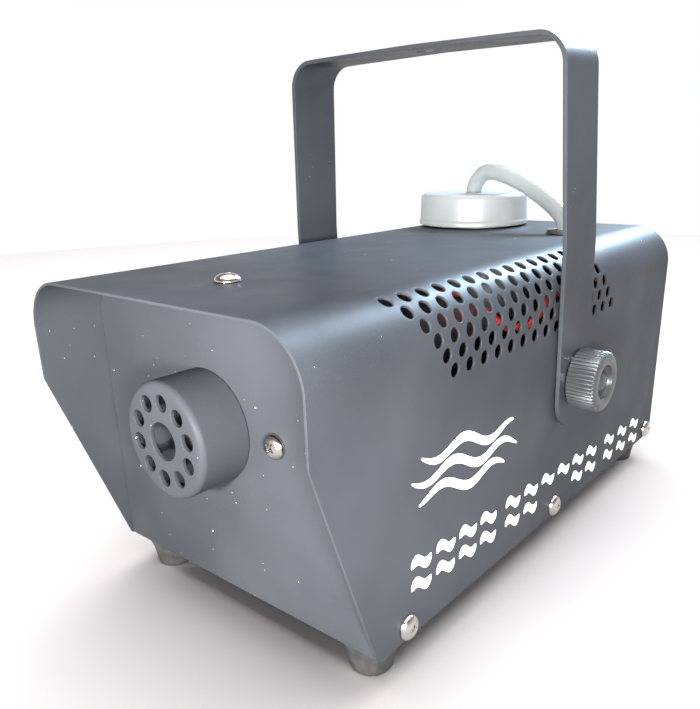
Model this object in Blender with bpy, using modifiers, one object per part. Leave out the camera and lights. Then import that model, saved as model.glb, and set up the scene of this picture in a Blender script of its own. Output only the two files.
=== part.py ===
"""Fog machine of the 400 W class: a folded sheet cover on a sheet chassis, with a tilting bracket,
a fluid bottle, an oscillating pump and a cast heater behind a perforated outlet shroud.

Dimensions are in millimetres and become metres where a mesh is made. Machine coordinates start on the
centre plane, at the cover's front edge and at the cover's lower edge. X is to the right of someone who
faces the front, Y to the rear and Z up. point() turns them into world coordinates, whose origin is under
the middle of the whole machine, on the floor.
"""

import math

import bmesh
import bpy
from mathutils import Matrix, Vector

MM = 0.001
GAP = 0.3

# Cover and chassis
WIDTH = 120.0
LENGTH = 237.0
HEIGHT = 99.5
SHEET = 0.8
BEND_RADIUS = 16.0
BEND_FACETS = 5
FRONT_RECESS = 22.7
REAR_RECESS = 2.5
KINK_HEIGHT = 66.7
FOOT_HEIGHT = 12.0
REAR_STICKOUT = 12.0

# Vent pattern, the same on both sides
VENT_ROWS = 6
VENT_COLUMNS = 15
VENT_PITCH = 8.0
VENT_START = 39.4
VENT_RADIUS = 2.15
VENT_SIDES = 6

# Bracket and its knobs
PIVOT_Y = 135.5
PIVOT_Z = 55.0
STRIP_WIDTH = 24.0
STRIP = 1.5
STRIP_TOP = 169.0
STRIP_CORNER = 10.5
LEG_TOP_X = 58.8
LEG_FOOT_X = 62.3
LEG_LEAN_START = 103.0
STRIP_BOW = 0.7
HANGING_HOLE = 4.5
BRACKET_TILT = math.radians(2.0)
KNOB_RADIUS = 10.9
KNOB_DEPTH = 10.4
WASHER = 1.0

# Outlet, heater, bottle, pump
OUTLET_X = -4.5
OUTLET_Z = 56.4
SHROUD_RADIUS = 18.0
SHROUD_DEPTH = 17.4
SHROUD_WALL = 1.5
FOG_HOLE = 5.9
FOG_RING = 12.0
FOG_RING_HOLE = 2.6
BOTTLE_X = -25.5
BOTTLE_Y = 206.5
CAP_RADIUS = 26.2
CAP_HEIGHT = 14.2
NECK_RADIUS = 19.1
TUBE_RADIUS = 3.6
GROMMET_X = 31.0
GROMMET_Y = 190.0
GROMMET_GROOVE = 5.9
PUMP_X = 33.0
PUMP_Z = 26.0
HEATER_YS = (40.0, 130.0)
PUMP_YS = (152.0, 190.0)
PUMP_INLET_Y = 204.3

# Rear panel fittings
SWITCH_X, SWITCH_Z = 46.0, 75.0
FUSE_X, FUSE_Z = 48.0, 49.0
SOCKET_X, SOCKET_Z = 17.0, 76.0
LAMP_X, LAMP_Z = 17.0, 57.0
GLAND_X, GLAND_Z = 17.0, 15.0
ROCKER_REST = 9.0

# Fasteners
SCREW_HEAD = 4.0
SCREW_SHANK = 1.7
SCREW_HOLE = 2.2
FOOT_X = 48.5
FOOT_YS = (33.5, 226.0)
COVER_SCREW_YS = (36.4, 130.0, 229.0)
COVER_SCREW_Z = 4.3
FRONT_SCREW_OFFSET = 28.7
TOP_SCREW_Y = 30.5

FRONT_Y = -(LENGTH + REAR_STICKOUT) / 2
PANEL_Y = FRONT_RECESS
REAR_Y = LENGTH - REAR_RECESS
INSIDE_X = WIDTH / 2 - SHEET
CHASSIS_X = INSIDE_X - 0.5
CHASSIS_TOP = HEIGHT - SHEET - 0.4
BEND_STEP = BEND_RADIUS * math.pi / 2 / BEND_FACETS
BOTTLE_BASE = SHEET + GAP + 1.0 + GAP

LEFT, RIGHT = -1, 1
SIDES = ((LEFT, "left"), (RIGHT, "right"))


def point(x, y, z):
    """Machine coordinates in millimetres to world coordinates in metres."""
    return Vector((x, y + FRONT_Y, z + FOOT_HEIGHT)) * MM


def clear_scene():
    for obj in list(bpy.data.objects):
        bpy.data.objects.remove(obj, do_unlink=True)


def new_collection(name):
    collection = bpy.data.collections.new(name)
    bpy.context.scene.collection.children.link(collection)
    return collection


def finish(name, colour, roughness, metallic=0.0, alpha=1.0):
    material = bpy.data.materials.new(name)
    material.use_nodes = True
    shader = material.node_tree.nodes["Principled BSDF"]
    shader.inputs["Base Color"].default_value = (*colour, 1.0)
    shader.inputs["Roughness"].default_value = roughness
    shader.inputs["Metallic"].default_value = metallic
    shader.inputs["Alpha"].default_value = alpha
    return material


clear_scene()
PARTS = new_collection("fog_machine")
CUTTERS = new_collection("cutters")

GREY_COAT = finish("grey_powder_coat", (0.075, 0.078, 0.084), 0.45)
BLACK_PLASTIC = finish("black_plastic", (0.012, 0.012, 0.013), 0.45)
BLACK_RUBBER = finish("black_rubber", (0.015, 0.015, 0.015), 0.8)
NICKEL = finish("nickel_plated_steel", (0.62, 0.6, 0.56), 0.28, 1.0)
ZINC = finish("zinc_plated_steel", (0.55, 0.57, 0.6), 0.4, 1.0)
MILKY = finish("milky_polyethylene", (0.8, 0.82, 0.8), 0.4)
CAST_ALUMINIUM = finish("cast_aluminium", (0.56, 0.57, 0.58), 0.5, 1.0)
BRASS = finish("brass", (0.7, 0.52, 0.25), 0.35, 1.0)
COPPER_COIL = finish("copper_winding_tape", (0.5, 0.2, 0.06), 0.5)
BOARD_GREEN = finish("circuit_board_green", (0.02, 0.16, 0.07), 0.5)
RED_PLASTIC = finish("red_plastic", (0.5, 0.02, 0.015), 0.35)
RED_WIRE = finish("red_silicone_wire", (0.45, 0.03, 0.03), 0.5)


def link(obj, material, cutter=False):
    (CUTTERS if cutter else PARTS).objects.link(obj)
    if cutter:
        obj.hide_render = True
        obj.display_type = "WIRE"
    else:
        obj.data.materials.append(material)
    return obj


def box(low, high):
    """A shape to add to a bmesh: a box between two corners in machine coordinates."""
    size = (point(*high) - point(*low)).to_3d()
    middle = (point(*high) + point(*low)) / 2
    matrix = Matrix.Translation(middle) @ Matrix.Diagonal(size).to_4x4()
    return lambda bm: bmesh.ops.create_cube(bm, size=1.0, matrix=matrix)


def rod(middle, axis, radius, length, segments=12, spin=0.0):
    """A shape to add to a bmesh: a cylinder or regular prism about an axis through its middle."""
    turn = Vector(axis).to_track_quat("Z", "Y").to_matrix().to_4x4()
    matrix = Matrix.Translation(point(*middle)) @ turn @ Matrix.Rotation(spin, 4, "Z")
    return lambda bm: bmesh.ops.create_cone(
        bm, cap_ends=True, segments=segments, radius1=radius * MM, radius2=radius * MM,
        depth=length * MM, matrix=matrix)


def mesh_from(name, shapes):
    bm = bmesh.new()
    for shape in shapes:
        shape(bm)
    mesh = bpy.data.meshes.new(name)
    bm.to_mesh(mesh)
    bm.free()
    return mesh


def boolean(obj, other, operation):
    modifier = obj.modifiers.new(f"{operation.lower()}_{len(obj.modifiers)}", "BOOLEAN")
    modifier.object = other
    modifier.operation = operation
    modifier.solver = "EXACT"
    return obj


def cut(obj, *shapes):
    """Takes shapes that don't touch each other away from the object."""
    name = f"{obj.name}_cutter_{len(obj.modifiers)}"
    cutter = link(bpy.data.objects.new(name, mesh_from(name, shapes)), None, cutter=True)
    return boolean(obj, cutter, "DIFFERENCE")


def solid(name, material, first, *others):
    """One body made of a first shape with the others joined to it, its origin in the first one's middle."""
    mesh = mesh_from(name, [first])
    corners = [v.co for v in mesh.vertices]
    middle = sum(corners, Vector()) / len(corners)
    mesh.transform(Matrix.Translation(-middle))
    obj = link(bpy.data.objects.new(name, mesh), material)
    obj.location = middle
    for number, shape in enumerate(others):
        extra_name = f"{name}_extra_{number}"
        extra = bpy.data.objects.new(extra_name, mesh_from(extra_name, [shape]))
        boolean(obj, link(extra, None, cutter=True), "UNION")
    return obj


def turned(name, material, profile, base, axis, segments=16, ring=False):
    """A turned piece: (radius, height) points down the outer side, about an axis from its base."""
    mesh = bpy.data.meshes.new(name)
    edges = [(i, i + 1) for i in range(len(profile) - 1)]
    if ring:
        edges.append((len(profile) - 1, 0))
    mesh.from_pydata([(r * MM, 0.0, h * MM) for r, h in profile], edges, [])
    obj = link(bpy.data.objects.new(name, mesh), material)
    obj.location = point(*base)
    obj.rotation_mode = "QUATERNION"
    obj.rotation_quaternion = Vector(axis).to_track_quat("Z", "Y")
    screw = obj.modifiers.new("turn", "SCREW")
    screw.steps = segments
    screw.render_steps = segments
    screw.use_merge_vertices = True
    screw.merge_threshold = 0.00001
    return obj


def sheet(name, material, points, faces, thickness):
    """A folded sheet: its outer faces, thickened inwards."""
    mesh = bpy.data.meshes.new(name)
    mesh.from_pydata([tuple(point(*p)) for p in points], [], faces)
    obj = link(bpy.data.objects.new(name, mesh), material)
    solidify = obj.modifiers.new("thickness", "SOLIDIFY")
    solidify.thickness = thickness * MM
    solidify.offset = -1.0
    solidify.solidify_mode = "NON_MANIFOLD"
    solidify.nonmanifold_thickness_mode = "EVEN"
    return obj


def tube(name, material, points, radius, sides=2):
    """A round tube or wire along a smooth curve through its points."""
    curve = bpy.data.curves.new(name, "CURVE")
    curve.dimensions = "3D"
    curve.bevel_depth = radius * MM
    curve.bevel_resolution = sides
    curve.use_fill_caps = True
    spline = curve.splines.new("POLY")
    smooth = smooth_route([point(*p) for p in points], radius * 5 * MM)
    spline.points.add(len(smooth) - 1)
    for target, place in zip(spline.points, smooth):
        target.co = (*place, 1.0)
    return link(bpy.data.objects.new(name, curve), material)


def smooth_route(places, spacing):
    """Points about `spacing` apart on a Catmull-Rom curve through the given places."""
    ends = [places[0] * 2 - places[1], *places, places[-1] * 2 - places[-2]]
    route = [places[0]]
    for a, b, c, d in zip(ends, ends[1:], ends[2:], ends[3:]):
        pieces = max(1, round((c - b).length / spacing))
        for i in range(1, pieces + 1):
            t = i / pieces
            route.append(0.5 * (2 * b + (c - a) * t + (2 * a - 5 * b + 4 * c - d) * t**2
                                + (3 * b - a - 3 * c + d) * t**3))
    return route


def cover_outline():
    """The cover's outer outline from its left lower edge over the top to its right lower edge."""
    flat = WIDTH / 2 - BEND_RADIUS
    rise = HEIGHT - BEND_RADIUS
    angles = [math.pi / 2 * i / BEND_FACETS for i in range(BEND_FACETS + 1)]
    right = [(flat + BEND_RADIUS * math.cos(a), rise + BEND_RADIUS * math.sin(a)) for a in angles]
    left = [(-x, z) for x, z in right]
    return [(-WIDTH / 2, 0.0), *left, *reversed(right), (WIDTH / 2, 0.0)]


def vent_shapes():
    """The vent holes of both sides, square to the sheet: the lowest rows on the flat, the rest round
    the bend, each row half a pitch further back than the row above it."""
    shapes = []
    for side, _ in SIDES:
        for row in range(VENT_ROWS):
            along_bend = BEND_STEP * (BEND_FACETS - 1.5 - row)
            angle = max(0.0, along_bend / BEND_RADIUS)
            reach = (BEND_RADIUS - SHEET / 2) * math.cos(BEND_STEP / BEND_RADIUS / 2)
            reach = reach if along_bend > 0 else BEND_RADIUS
            x = WIDTH / 2 - BEND_RADIUS + reach * math.cos(angle)
            z = HEIGHT - BEND_RADIUS + reach * math.sin(angle) + min(0.0, along_bend)
            for column in range(VENT_COLUMNS):
                y = VENT_START + VENT_PITCH * (column + row / 2)
                axis = (side * math.cos(angle), 0.0, math.sin(angle))
                shapes.append(rod((side * x, y, z), axis, VENT_RADIUS, 5.0, VENT_SIDES))
    return shapes


def build_cover():
    outline = cover_outline()
    points = [(x, y, z) for x, z in outline for y in (0.0, LENGTH)]
    faces = [(2 * i, 2 * i + 2, 2 * i + 3, 2 * i + 1) for i in range(len(outline) - 1)]
    cover = sheet("cover", GREY_COAT, points, faces, SHEET)
    slope = Vector((FRONT_RECESS, -KINK_HEIGHT))
    low = Vector((0.0, KINK_HEIGHT)) + slope * 1.2
    high = Vector((0.0, KINK_HEIGHT)) - slope * 0.2
    wedge = [(x, y, z) for x in (-WIDTH, WIDTH) for y, z in ((-30.0, -20.0), low, high, (-30.0, high.y))]
    corner_mesh = bpy.data.meshes.new("cover_corner_cutter")
    corner_mesh.from_pydata(
        [tuple(point(*p)) for p in wedge], [],
        [(0, 1, 2, 3), (7, 6, 5, 4), (0, 4, 5, 1), (1, 5, 6, 2), (2, 6, 7, 3), (3, 7, 4, 0)])
    corner = link(bpy.data.objects.new("cover_corner_cutter", corner_mesh), None, cutter=True)
    turn_faces_out(corner_mesh)
    boolean(cover, corner, "DIFFERENCE")
    cut(cover, *vent_shapes())
    across = (1.0, 0.0, 0.0)
    up = (0.0, 0.0, 1.0)
    holes = [rod((side * WIDTH / 2, y, COVER_SCREW_Z), across, SCREW_HOLE, 6.0)
             for side, _ in SIDES for y in COVER_SCREW_YS]
    holes += [rod((side * WIDTH / 2, PIVOT_Y, PIVOT_Z), across, 3.4, 6.0) for side, _ in SIDES]
    holes.append(rod((0.0, TOP_SCREW_Y, HEIGHT), up, SCREW_HOLE, 6.0))
    holes.append(rod((GROMMET_X, GROMMET_Y, HEIGHT), up, GROMMET_GROOVE + GAP, 6.0, 16))
    holes.append(rod((BOTTLE_X, BOTTLE_Y, HEIGHT), up, NECK_RADIUS + 1.4, 8.0, 24))
    cut(cover, *holes)


def turn_faces_out(mesh):
    bm = bmesh.new()
    bm.from_mesh(mesh)
    bmesh.ops.recalc_face_normals(bm, faces=bm.faces)
    bm.to_mesh(mesh)
    bm.free()


def panel_outline(y):
    """An end panel's outline, fitting under the cover: up its left edge, over and down its right."""
    radius = BEND_RADIUS - SHEET - 0.5
    flat = CHASSIS_X - radius
    rise = CHASSIS_TOP - radius
    angles = [math.pi / 2 * i / BEND_FACETS for i in range(BEND_FACETS + 1)]
    right = [(flat + radius * math.cos(a), y, rise + radius * math.sin(a)) for a in angles]
    return [(-x, y, z) for x, _, z in right] + list(reversed(right))


def build_chassis():
    relief = 4.0
    flange_height = 11.0
    flange_depth = 14.0
    flange_x = CHASSIS_X - BEND_RADIUS + SHEET
    points = []

    def add(*places):
        points.extend(places)
        return tuple(range(len(points) - len(places), len(points)))

    fl, fr, rr, rl = add(*[(x, y, 0.0) for x, y in (
        (-CHASSIS_X, PANEL_Y), (CHASSIS_X, PANEL_Y), (CHASSIS_X, REAR_Y), (-CHASSIS_X, REAR_Y))])
    side_points = {}
    for side, _ in SIDES:
        ys = (PANEL_Y + relief, REAR_Y - relief + 1.0)
        side_points[side] = add(*[(side * CHASSIS_X, y, z) for z in (0.0, flange_height) for y in ys])
    left, right = side_points[LEFT], side_points[RIGHT]
    faces = [(fl, left[0], left[1], rl, rr, right[1], right[0], fr)]
    faces.append((left[0], left[2], left[3], left[1]))
    faces.append((right[1], right[3], right[2], right[0]))
    front = add(*panel_outline(PANEL_Y))
    faces.append((fr, *reversed(front), fl))
    rear = add(*panel_outline(REAR_Y))
    faces.append((rl, *rear, rr))
    bend = BEND_FACETS
    tab_y = PANEL_Y + flange_depth
    tab = add((-flange_x, tab_y, CHASSIS_TOP), (flange_x, tab_y, CHASSIS_TOP))
    faces.append((front[bend], front[bend + 1], tab[1], tab[0]))
    chassis = sheet("chassis", GREY_COAT, points, faces, SHEET)
    turn_faces_out_of_chassis(chassis.data)

    across, along, up = (1.0, 0.0, 0.0), (0.0, 1.0, 0.0), (0.0, 0.0, 1.0)
    holes = [rod((side * CHASSIS_X, y, COVER_SCREW_Z), across, SCREW_HOLE, 6.0)
             for side, _ in SIDES for y in COVER_SCREW_YS]
    holes += [rod((side * FOOT_X, y, 0.0), up, SCREW_HOLE, 6.0) for side, _ in SIDES for y in FOOT_YS]
    holes += [rod((OUTLET_X + side * FRONT_SCREW_OFFSET, PANEL_Y, OUTLET_Z), along, SCREW_HOLE, 6.0)
              for side, _ in SIDES]
    holes.append(rod((OUTLET_X, PANEL_Y, OUTLET_Z), along, 7.5, 6.0, 16))
    holes.append(rod((0.0, TOP_SCREW_Y, CHASSIS_TOP), up, SCREW_HOLE, 6.0))
    holes.append(box((SWITCH_X - 6.8, REAR_Y - 4.0, SWITCH_Z - 9.8),
                     (SWITCH_X + 6.8, REAR_Y + 4.0, SWITCH_Z + 9.8)))
    for x, z, radius in ((FUSE_X, FUSE_Z, 6.6), (SOCKET_X, SOCKET_Z, 7.8), (LAMP_X, LAMP_Z, 3.4),
                         (GLAND_X, GLAND_Z, 6.6)):
        holes.append(rod((x, REAR_Y, z), along, radius, 6.0))
    cut(chassis, *holes)


def turn_faces_out_of_chassis(mesh):
    """Points every outer face away from the chassis's middle, so that the sheet thickens inwards."""
    middle = point(0.0, (PANEL_Y + REAR_Y) / 2, HEIGHT / 2)
    bm = bmesh.new()
    bm.from_mesh(mesh)
    bm.normal_update()
    for face in bm.faces:
        if face.normal.dot(face.calc_center_median() - middle) < 0:
            face.normal_flip()
    bm.to_mesh(mesh)
    bm.free()


def screw(name, base, outward, length):
    """A pan head screw whose head rests at its base and whose shank goes in."""
    profile = [(0.0, 2.4), (2.7, 2.0), (SCREW_HEAD, 0.9), (SCREW_HEAD, 0.0), (SCREW_SHANK, 0.0),
               (SCREW_SHANK, -length), (0.0, -length)]
    turned(name, NICKEL, profile, base, outward, 10)


def build_fasteners():
    for side, side_name in SIDES:
        for y, place in zip(COVER_SCREW_YS, ("front", "middle", "rear")):
            base = (side * (WIDTH / 2 + GAP), y, COVER_SCREW_Z)
            screw(f"cover_screw_{side_name}_{place}", base, (side, 0.0, 0.0), 5.0)
        screw(f"front_screw_{side_name}", (OUTLET_X + side * FRONT_SCREW_OFFSET, PANEL_Y - GAP, OUTLET_Z),
              (0.0, -1.0, 0.0), 6.0)
    screw("top_screw", (0.0, TOP_SCREW_Y, HEIGHT + GAP), (0.0, 0.0, 1.0), 5.0)


def build_feet():
    recess = 5.0
    top = -GAP
    foot = [(8.8, top), (8.8, top - 2.0), (7.9, top - 4.5), (6.9, -FOOT_HEIGHT + 0.8), (6.3, -FOOT_HEIGHT),
            (4.7, -FOOT_HEIGHT), (4.7, -FOOT_HEIGHT + recess), (SCREW_HOLE, -FOOT_HEIGHT + recess),
            (SCREW_HOLE, top)]
    for side, side_name in SIDES:
        for y, place in zip(FOOT_YS, ("front", "rear")):
            base = (side * FOOT_X, y, 0.0)
            turned(f"foot_{place}_{side_name}", BLACK_RUBBER, foot, base, (0.0, 0.0, 1.0), 16, ring=True)
            seat = (base[0], base[1], -FOOT_HEIGHT + recess - GAP)
            screw(f"foot_screw_{place}_{side_name}", seat, (0.0, 0.0, -1.0), 8.0)


def shroud_holes():
    along = (0.0, 1.0, 0.0)
    y = PANEL_Y - SHROUD_DEPTH
    shapes = [rod((OUTLET_X, y, OUTLET_Z), along, FOG_HOLE, 6.0, 16)]
    for i in range(10):
        angle = math.radians(120.0 + 36.0 * i)
        x = OUTLET_X + FOG_RING * math.cos(angle)
        z = OUTLET_Z + FOG_RING * math.sin(angle)
        shapes.append(rod((x, y, z), along, FOG_RING_HOLE, 6.0, 8))
    return shapes


def build_outlet():
    """The shroud, a deep drawn cup open to the panel, and the brass nozzle that ends inside it."""
    inner = SHROUD_RADIUS - SHROUD_WALL
    depth = SHROUD_DEPTH - GAP
    profile = [(0.0, depth), (SHROUD_RADIUS - 1.6, depth), (SHROUD_RADIUS - 0.4, depth - 0.5),
               (SHROUD_RADIUS, depth - 1.6), (SHROUD_RADIUS, 0.0), (inner, 0.0),
               (inner, depth - SHROUD_WALL), (0.0, depth - SHROUD_WALL)]
    shroud = turned("nozzle_shroud", GREY_COAT, profile, (OUTLET_X, PANEL_Y - GAP, OUTLET_Z),
                    (0.0, -1.0, 0.0), 32)
    cut(shroud, *shroud_holes())
    nozzle = [(0.0, 25.7), (1.6, 25.7), (2.9, 24.0), (2.9, 19.0), (4.0, 18.0), (4.0, 6.0), (6.4, 6.0),
              (6.4, 0.0), (0.0, 0.0)]
    turned("nozzle", BRASS, nozzle, (OUTLET_X, HEATER_YS[0] - GAP, OUTLET_Z), (0.0, -1.0, 0.0), 12)


def bracket_path():
    """Half of the upright strip's outer line from the middle of the bar to the foot of the right leg, as
    (x, z, half width): a slight bow, a round corner, a leg that leans out to clear the cover, a round end."""
    half = STRIP_WIDTH / 2
    path = []
    corner_x = LEG_TOP_X - STRIP_CORNER
    for share, rise in ((0.0, 1.0), (0.4, 1.0), (0.75, 0.5)):
        path.append((corner_x * share, STRIP_TOP + STRIP_BOW * rise, half))
    for i in range(6):
        angle = math.pi / 2 * i / 5
        path.append((corner_x + STRIP_CORNER * math.sin(angle),
                     STRIP_TOP - STRIP_CORNER + STRIP_CORNER * math.cos(angle), half))
    path.append((LEG_FOOT_X, LEG_LEAN_START, half))
    foot_z = PIVOT_Z - 18.5
    for degrees in (90, 60, 38, 16):
        angle = math.radians(degrees)
        path.append((LEG_FOOT_X, foot_z + half * (1 - math.cos(angle)), half * math.sin(angle)))
    return path


def build_bracket():
    path = bracket_path()
    points = [(x, PIVOT_Y + side * half, z) for x, z, half in path for side in (-1, 1)]
    faces = [(2 * i, 2 * i + 2, 2 * i + 3, 2 * i + 1) for i in range(len(path) - 1)]
    bracket = sheet("bracket", GREY_COAT, points, faces, STRIP)
    origin = point(0.0, PIVOT_Y, PIVOT_Z)
    bracket.data.transform(Matrix.Translation(-origin))
    bracket.location = origin
    bracket.rotation_euler = (BRACKET_TILT, 0.0, 0.0)
    mirror = bracket.modifiers.new("other_half", "MIRROR")
    mirror.merge_threshold = 0.00001
    bracket.modifiers.move(len(bracket.modifiers) - 1, 0)
    holes = [rod((side * LEG_FOOT_X, PIVOT_Y, PIVOT_Z), (1.0, 0.0, 0.0), 3.4, 8.0)
             for side, _ in SIDES]
    up = (0.0, -math.sin(BRACKET_TILT), math.cos(BRACKET_TILT))
    reach = STRIP_TOP - PIVOT_Z
    holes.append(rod((0.0, PIVOT_Y + up[1] * reach, PIVOT_Z + up[2] * reach), up, HANGING_HOLE, 8.0, 16))
    cut(bracket, *holes)


def build_knobs():
    knob = [(0.0, 9.3), (3.0, 9.0), (3.7, 8.2), (5.8, 8.2), (6.4, KNOB_DEPTH - 0.3),
            (9.9, KNOB_DEPTH - 0.3), (KNOB_RADIUS, KNOB_DEPTH - 1.2), (KNOB_RADIUS, 0.8), (10.2, 0.0),
            (3.3, 0.0), (3.3, 6.0), (0.0, 6.0)]
    washer = [(7.2, WASHER), (7.2, 0.0), (3.4, 0.0), (3.4, WASHER)]
    for side, side_name in SIDES:
        out = (side, 0.0, 0.0)
        washer_x = LEG_FOOT_X + GAP
        knob_x = washer_x + WASHER + GAP
        washer_base = (side * washer_x, PIVOT_Y, PIVOT_Z)
        turned(f"knob_washer_{side_name}", ZINC, washer, washer_base, out, 16, ring=True)
        turned(f"knob_{side_name}", BLACK_PLASTIC, knob, (side * knob_x, PIVOT_Y, PIVOT_Z), out, 28)
        stud_end = knob_x + 6.0 - GAP
        stud_start = INSIDE_X - 9.0
        middle = (side * (stud_start + stud_end) / 2, PIVOT_Y, PIVOT_Z)
        solid(f"knob_stud_{side_name}", ZINC, rod(middle, out, 3.0, stud_end - stud_start, 12))
        nut_x = side * (INSIDE_X - GAP - 2.5)
        nut = solid(f"weld_nut_{side_name}", ZINC, rod((nut_x, PIVOT_Y, PIVOT_Z), out, 5.8, 5.0, 6))
        cut(nut, rod((nut_x, PIVOT_Y, PIVOT_Z), out, 3.4, 8.0, 12))


def rounded_rectangle(half_x, half_y, radius, steps=3):
    corners = ((1, 1, 0.0), (-1, 1, 90.0), (-1, -1, 180.0), (1, -1, 270.0))
    ring = []
    for sign_x, sign_y, start in corners:
        for i in range(steps + 1):
            angle = math.radians(start + 90.0 * i / steps)
            ring.append((sign_x * (half_x - radius) + radius * math.cos(angle),
                         sign_y * (half_y - radius) + radius * math.sin(angle)))
    return ring


def build_bottle():
    """A blow moulded bottle: rounded rectangular body, sloping shoulder and a wide round neck."""
    steps = 4
    half_x, half_y, radius = 27.5, 25.0, 12.0
    body = [(0.86, BOTTLE_BASE), (1.0, BOTTLE_BASE + 4.0), (1.0, 80.0), (0.93, 87.0)]
    rings = [[(x * scale, y * scale, z) for x, y in rounded_rectangle(half_x, half_y, radius, steps)]
             for scale, z in body]
    count = len(rings[0])
    neck_angles = [math.atan2(y, x) for x, y, _ in rings[0]]
    for neck, z in ((NECK_RADIUS, 92.0), (NECK_RADIUS, 110.5)):
        rings.append([(neck * math.cos(a), neck * math.sin(a), z) for a in neck_angles])
    points = [(x + BOTTLE_X, y + BOTTLE_Y, z) for ring in rings for x, y, z in ring]
    faces = [tuple(reversed(range(count)))]
    for level in range(len(rings) - 1):
        for i in range(count):
            a = level * count + i
            b = level * count + (i + 1) % count
            faces.append((a, b, b + count, a + count))
    sheet("bottle", MILKY, points, faces, 1.2)
    cap_base = HEIGHT + 0.9
    cap = [(TUBE_RADIUS + GAP, CAP_HEIGHT), (CAP_RADIUS - 2.6, CAP_HEIGHT),
           (CAP_RADIUS - 1.2, CAP_HEIGHT - 0.8), (CAP_RADIUS - 0.6, CAP_HEIGHT - 2.4),
           (CAP_RADIUS - 0.3, 2.2), (CAP_RADIUS, 1.4), (CAP_RADIUS, 0.0),
           (CAP_RADIUS - 2.2, 0.0), (CAP_RADIUS - 2.4, CAP_HEIGHT - 2.2),
           (NECK_RADIUS + 2.4, CAP_HEIGHT - 2.2), (NECK_RADIUS + 2.2, 1.0), (NECK_RADIUS + 0.4, 1.0),
           (NECK_RADIUS + 0.4, CAP_HEIGHT - 2.2), (TUBE_RADIUS + GAP, CAP_HEIGHT - 2.2)]
    turned("bottle_cap", MILKY, cap, (BOTTLE_X, BOTTLE_Y, cap_base), (0.0, 0.0, 1.0), 32, ring=True)
    tray = solid("bottle_tray", ZINC, box((BOTTLE_X - 29.2, BOTTLE_Y - 26.6, SHEET + GAP),
                                          (BOTTLE_X + 29.2, BOTTLE_Y + 26.6, SHEET + GAP + 14.0)))
    cut(tray, box((BOTTLE_X - 28.2, BOTTLE_Y - 25.6, SHEET + GAP + 1.0),
                  (BOTTLE_X + 28.2, BOTTLE_Y + 25.6, SHEET + GAP + 30.0)))


def build_intake():
    """One hose from the filter on the bottle's floor, up through the cap, over and down to the pump."""
    x, y = BOTTLE_X, BOTTLE_Y
    route = [(x, y, BOTTLE_BASE + 15.5), (x, y, 45.0), (x, y, 75.0), (x, y, 100.0), (x, y, 114.5),
             (-23.6, 205.9, 119.6), (-20.6, 205.0, 122.6), (-15.9, 203.6, 124.2), (-9.5, 201.7, 123.8),
             (-1.5, 199.3, 121.9), (7.5, 196.7, 118.6), (16.5, 194.1, 114.3), (24.3, 191.9, 109.6),
             (29.3, 190.5, 105.0), (GROMMET_X, GROMMET_Y, 99.4), (31.3, 190.3, 93.0),
             (31.5, 195.0, 82.0), (31.5, 204.0, 72.0), (31.5, 213.5, 62.0), (31.5, 219.5, 51.0),
             (31.8, 221.5, 40.0), (32.5, 218.5, 30.5), (PUMP_X, 212.0, PUMP_Z),
             (PUMP_X, PUMP_INLET_Y, PUMP_Z)]
    tube("intake_tube", MILKY, route, TUBE_RADIUS)
    lip, bore = GROMMET_GROOVE + 2.4, TUBE_RADIUS + 1.1
    grommet = [(lip, 1.6), (lip, GAP), (GROMMET_GROOVE, GAP), (GROMMET_GROOVE, -SHEET - GAP),
               (lip, -SHEET - GAP), (lip, -SHEET - 2.0), (bore, -SHEET - 2.0), (bore, 1.6)]
    base = (GROMMET_X, GROMMET_Y, HEIGHT)
    turned("tube_grommet", BLACK_RUBBER, grommet, base, (0.0, 0.0, 1.0), 16, ring=True)
    filter_profile = [(0.0, 13.0), (3.2, 13.0), (5.5, 10.5), (5.5, 0.0), (0.0, 0.0)]
    turned("intake_filter", BRASS, filter_profile, (x, y, BOTTLE_BASE + 2.2), (0.0, 0.0, 1.0), 12)


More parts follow.
